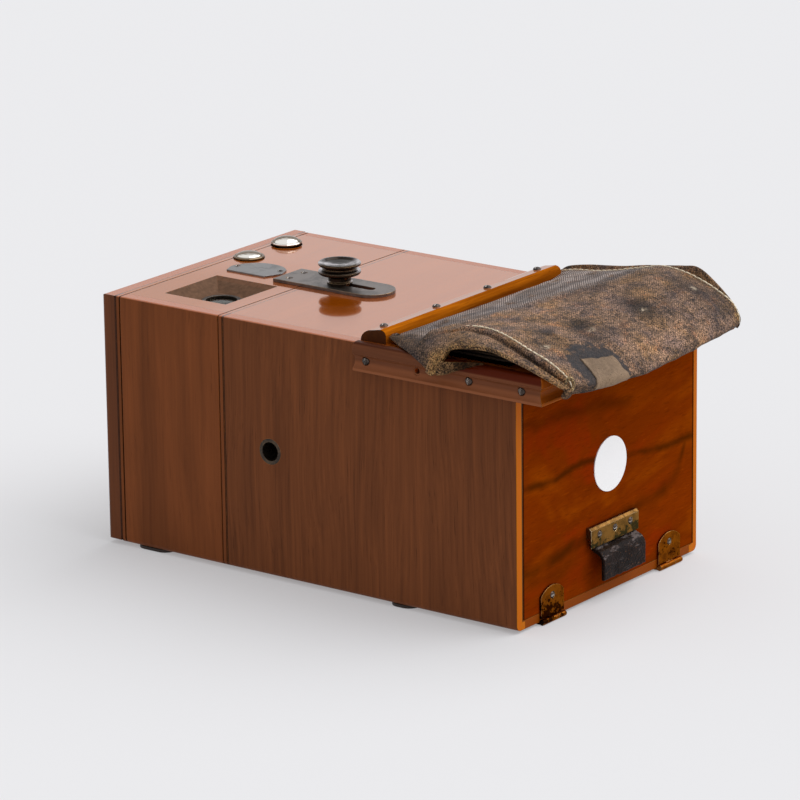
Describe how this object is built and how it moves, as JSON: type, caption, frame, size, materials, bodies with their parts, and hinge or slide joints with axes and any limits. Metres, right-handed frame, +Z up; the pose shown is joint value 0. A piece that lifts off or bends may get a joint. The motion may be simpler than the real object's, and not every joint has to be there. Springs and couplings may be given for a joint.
{
  "type": "box camera",
  "caption": "Wooden bag-changing box camera with sliding front section, hinged front flap and rear door, top finder, press buttons, clamp knob and a leather changing bag on a moulded frame.",
  "frame": {"origin": "middle of the box's length and width, on the plane the feet stand on", "axes": "+X towards the side with the tripod bush, +Y towards the rear door, +Z up; the lens looks along -Y"},
  "size_m": [0.1624, 0.2816, 0.143],
  "materials": {
    "side_wood": "french polish, streaked",
    "front_side_wood": "french polish",
    "top_wood": "glossy french polish",
    "door_wood": "glossy french polish, red-orange",
    "lip_wood": "french polish",
    "frame_wood": "french polish",
    "inner_wood": "plain beech",
    "bag_leather": "worn, mottled",
    "tab_leather": "worn",
    "sheath_metal": "matt black japan",
    "plate_glass": "coated",
    "lens_glass": "clear",
    "silvered_glass": "mirror",
    "brass": "lacquered",
    "aged_brass": "aged, dark patina",
    "bronze": "blackened bronze",
    "blackened_metal": "matt black",
    "zinc": "dull grey",
    "nickel": "bright nickel",
    "spring_steel": "bright",
    "paper": "blank white disc",
    "foot_wood": "ebonised"
  },
  "bodies": {
    "rear_section": {"rear_near_side": "side_wood", "rear_far_side": "side_wood", "rear_top": "top_wood", "rear_bottom": "side_wood", "exposure_frame": "inner_wood", "magazine_guides": "inner_wood", "door_transom": "lip_wood", "bag_frame_front": "frame_wood", "bag_frame_near_side": "frame_wood", "bag_frame_far_side": "frame_wood", "bag_frame_rear": "frame_wood", "bag_frame_screws": "bronze", "changing_bag": "bag_leather", "plate_sheaths": "sheath_metal", "glass_plates": "plate_glass", "tripod_bush": "brass", "clamp_bush": "brass", "rear_feet": "foot_wood", "door_hinge_bases": "aged_brass", "door_hinge_pins": "brass"},
    "rear_door": {"rear_door": "door_wood", "door_hinge_leaves": "aged_brass", "door_screws": "brass", "tab_plate": "aged_brass", "leather_tab": "tab_leather", "label_disc": "paper", "pressure_board": "inner_wood", "pressure_springs": "spring_steel"},
    "front_section": {"front_near_side": "front_side_wood", "front_far_side": "front_side_wood", "front_top": "top_wood", "front_bottom": "front_side_wood", "lens_panel": "inner_wood", "finder_boards": "inner_wood", "light_trap_sleeve": "inner_wood", "focus_plate": "bronze", "front_screws": "brass", "finder_case": "blackened_metal", "finder_mirror": "silvered_glass", "finder_lenses": "lens_glass", "finder_bezel": "aged_brass", "cover_plate": "zinc", "lens_barrel": "brass", "lens_glasses": "lens_glass", "pivot_posts": "brass", "button_tubes": "brass", "catch_spring": "spring_steel", "release_spring": "spring_steel", "front_feet": "foot_wood", "flap_hinge_bases": "brass", "flap_hinge_pins": "brass", "flap_catch_clip": "brass"},
    "front_flap": {"front_flap": "front_side_wood", "flap_brasswork": "brass"},
    "clamp_knob": {"clamp_knob": "bronze"},
    "catch_button": {"catch_button": "nickel"},
    "release_button": {"release_button": "nickel"},
    "release_lever": {"release_lever": "brass"},
    "shutter_disc": {"shutter_disc": "blackened_metal"},
    "stop_wheel": {"stop_wheel": "brass"}
  },
  "joints": [
    {"name": "focusing_slide", "type": "slide", "parent": "rear_section", "child": "front_section", "axis": [0, -1, 0], "range_m": [0, 0.015]},
    {"name": "rear_door_hinge", "type": "hinge", "parent": "rear_section", "child": "rear_door", "pos_m": [-0.001, 0.1264, 0.00145], "axis": [-1, 0, 0], "range_deg": [0, 90]},
    {"name": "front_flap_hinge", "type": "hinge", "parent": "front_section", "child": "front_flap", "pos_m": [0, -0.1264, 0.00145], "axis": [1, 0, 0], "range_deg": [0, 90]},
    {"name": "clamp_knob_turn", "type": "hinge", "parent": "rear_section", "child": "clamp_knob", "pos_m": [0, -0.0355, 0.1285], "axis": [0, 0, 1], "range_deg": [0, 270]},
    {"name": "catch_press", "type": "slide", "parent": "front_section", "child": "catch_button", "axis": [0, 0, -1], "range_m": [0, 0.0015], "stiffness_N_per_m": 300, "springref_m": -0.002, "deforming": ["catch_spring"]},
    {"name": "release_press", "type": "slide", "parent": "front_section", "child": "release_button", "axis": [0, 0, -1], "range_m": [0, 0.0022], "stiffness_N_per_m": 300, "springref_m": -0.002, "deforming": ["release_spring"]},
    {"name": "release_lever_rock", "type": "hinge", "parent": "front_section", "child": "release_lever", "pos_m": [-0.036, -0.1077, 0.0888], "axis": [0, -1, 0], "range_deg": [0, 12]},
    {"name": "shutter_disc_turn", "type": "hinge", "parent": "front_section", "child": "shutter_disc", "pos_m": [-0.017, -0.1077, 0.048], "axis": [0, 1, 0], "range_deg": [0, 150]},
    {"name": "stop_wheel_turn", "type": "hinge", "parent": "front_section", "child": "stop_wheel", "pos_m": [0.0195, -0.1047, 0.0525], "axis": [0, 1, 0], "continuous": true}
  ],
  "couplings": [
    {"joint": "release_lever_rock", "follows": "release_press", "rad_per_m": 71.9}
  ]
}
